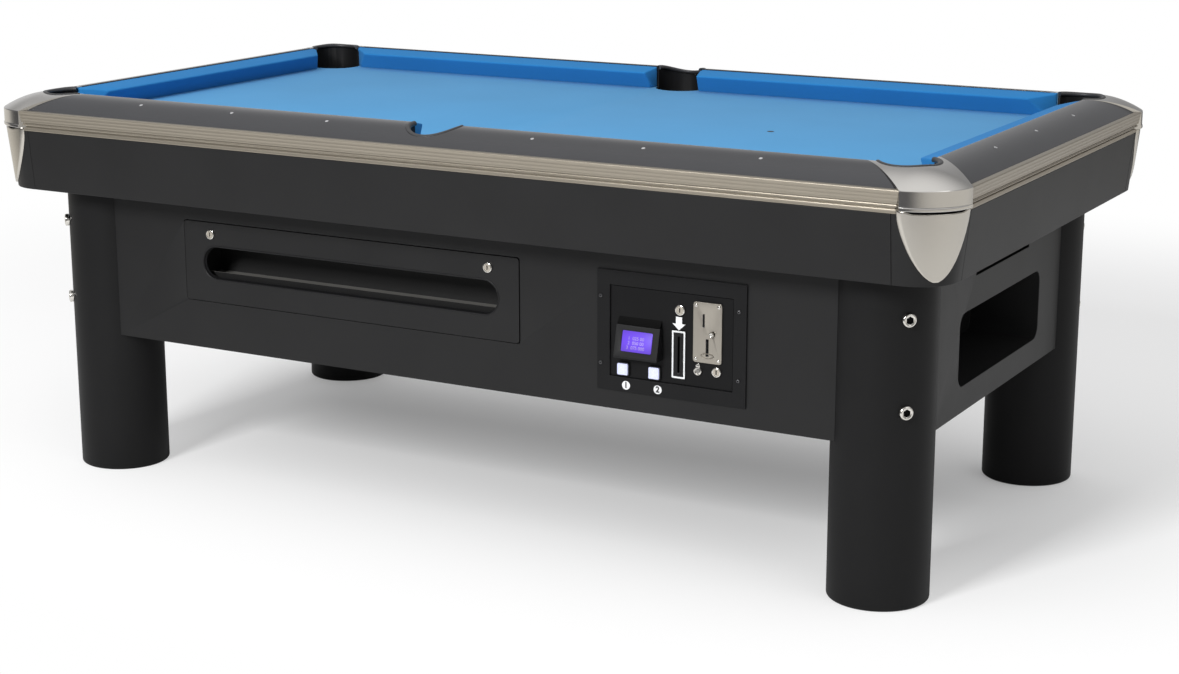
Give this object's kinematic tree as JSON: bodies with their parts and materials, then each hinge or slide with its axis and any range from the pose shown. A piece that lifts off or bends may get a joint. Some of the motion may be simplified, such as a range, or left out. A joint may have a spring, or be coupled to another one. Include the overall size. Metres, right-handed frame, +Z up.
{
  "type": "coin-operated pool table",
  "caption": "Coin-operated pool table: blue cloth on a slate bed, crowned rails with metal trim and corner castings, ball window and hinged coin door in a black cabinet on round legs.",
  "frame": {"origin": "on the floor under the middle of the table", "axes": "+X along the table towards the end with the coin unit, +Y from the coin side to the back, +Z up"},
  "size_m": [2.2352, 1.27, 0.8528],
  "materials": {
    "cabinet_black": "satin black laminate with a fine grain, on board",
    "rail_laminate": "satin charcoal laminate on the rails",
    "trim_aluminium": "satin anodised extrusion in warm nickel",
    "satin_nickel": "satin nickel plate on a die casting",
    "bed_cloth": "blue worsted wool cloth",
    "cushion_cloth": "blue worsted wool cloth over cushion rubber",
    "slate": "honed grey slate",
    "liner_rubber": "moulded black rubber",
    "chrome": "bright chrome plate",
    "stainless": "brushed stainless sheet",
    "black_steel": "black powder coat with a fine texture",
    "display_plastic": "moulded black bezel with a violet liquid crystal screen",
    "button_plastic": "lit milky white cap in a black surround",
    "acceptor_plastic": "black moulded plastic with a white border",
    "runway_plastic": "grey plastic sheet"
  },
  "bodies": {
    "table": {"leg_front_left": "cabinet_black", "leg_front_right": "cabinet_black", "leg_rear_right": "cabinet_black", "leg_rear_left": "cabinet_black", "leg_bracket_front_left": "chrome", "leg_bracket_front_right": "chrome", "leg_bracket_rear_right": "chrome", "leg_bracket_rear_left": "chrome", "cabinet_front": "cabinet_black", "cabinet_rear": "cabinet_black", "cabinet_end_left": "cabinet_black", "cabinet_end_right": "cabinet_black", "apron_front": "cabinet_black", "apron_right": "cabinet_black", "apron_rear": "cabinet_black", "apron_left": "cabinet_black", "apron_corner_front_left": "cabinet_black", "apron_corner_front_right": "cabinet_black", "apron_corner_rear_right": "cabinet_black", "apron_corner_rear_left": "cabinet_black", "rail_front": "rail_laminate", "rail_right": "rail_laminate", "rail_rear": "rail_laminate", "rail_left": "rail_laminate", "trim_front": "trim_aluminium", "trim_right": "trim_aluminium", "trim_rear": "trim_aluminium", "trim_left": "trim_aluminium", "corner_casting_front_left": "satin_nickel", "corner_casting_front_right": "satin_nickel", "corner_casting_rear_right": "satin_nickel", "corner_casting_rear_left": "satin_nickel", "cushion_front_left": "cushion_cloth", "cushion_front_right": "cushion_cloth", "cushion_rear_left": "cushion_cloth", "cushion_rear_right": "cushion_cloth", "cushion_left_end": "cushion_cloth", "cushion_right_end": "cushion_cloth", "slate": "slate", "bed_cloth": "bed_cloth", "pocket_liner_corner_front_left": "liner_rubber", "pocket_liner_corner_front_right": "liner_rubber", "pocket_liner_corner_rear_right": "liner_rubber", "pocket_liner_corner_rear_left": "liner_rubber", "pocket_liner_side_front": "liner_rubber", "pocket_liner_side_rear": "liner_rubber", "coin_frame": "black_steel", "ball_runway": "runway_plastic"},
    "coin_door": {"coin_door": "black_steel", "coin_plate": "stainless", "display_unit": "display_plastic", "bill_acceptor": "acceptor_plastic"},
    "coin_door_lock": {"coin_door_lock": "chrome"},
    "select_button": {"select_button": "button_plastic"},
    "play_button": {"play_button": "button_plastic"},
    "reject_button": {"reject_button": "chrome"},
    "window_door": {"window_door": "cabinet_black"},
    "window_lock_left": {"window_lock_left": "chrome"},
    "window_lock_right": {"window_lock_right": "chrome"},
    "release_gate": {"release_gate": "stainless"}
  },
  "joints": [
    {"name": "coin_door_swing", "type": "hinge", "parent": "table", "child": "coin_door", "pos_m": [0.3857, -0.5189, 0.473], "axis": [0, 0, -1], "range_deg": [0, 90]},
    {"name": "coin_lock_turn", "type": "hinge", "parent": "coin_door", "child": "coin_door_lock", "pos_m": [0.5372, -0.5189, 0.53], "axis": [0, 1, 0], "range_deg": [0, 90]},
    {"name": "select_press", "type": "slide", "parent": "coin_door", "child": "select_button", "axis": [0, 1, 0], "range_m": [0, 0.003], "stiffness_N_per_m": 300},
    {"name": "play_press", "type": "slide", "parent": "coin_door", "child": "play_button", "axis": [0, 1, 0], "range_m": [0, 0.003], "stiffness_N_per_m": 300},
    {"name": "reject_press", "type": "slide", "parent": "coin_door", "child": "reject_button", "axis": [0, 1, 0], "range_m": [0, 0.004], "stiffness_N_per_m": 200},
    {"name": "window_door_swing", "type": "hinge", "parent": "table", "child": "window_door", "pos_m": [-0.2445, -0.5186, 0.42], "axis": [1, 0, 0], "range_deg": [0, 90]},
    {"name": "window_lock_left_turn", "type": "hinge", "parent": "window_door", "child": "window_lock_left", "pos_m": [-0.5942, -0.5186, 0.5687], "axis": [0, -1, 0], "range_deg": [0, 90]},
    {"name": "window_lock_right_turn", "type": "hinge", "parent": "window_door", "child": "window_lock_right", "pos_m": [0.1052, -0.5186, 0.5687], "axis": [0, 1, 0], "range_deg": [0, 90]},
    {"name": "release_gate_tip", "type": "hinge", "parent": "table", "child": "release_gate", "pos_m": [-0.2445, -0.406, 0.63673], "axis": [1, 0, 0], "range_deg": [0, 60], "stiffness_Nm_per_rad": 0.5}
  ]
}
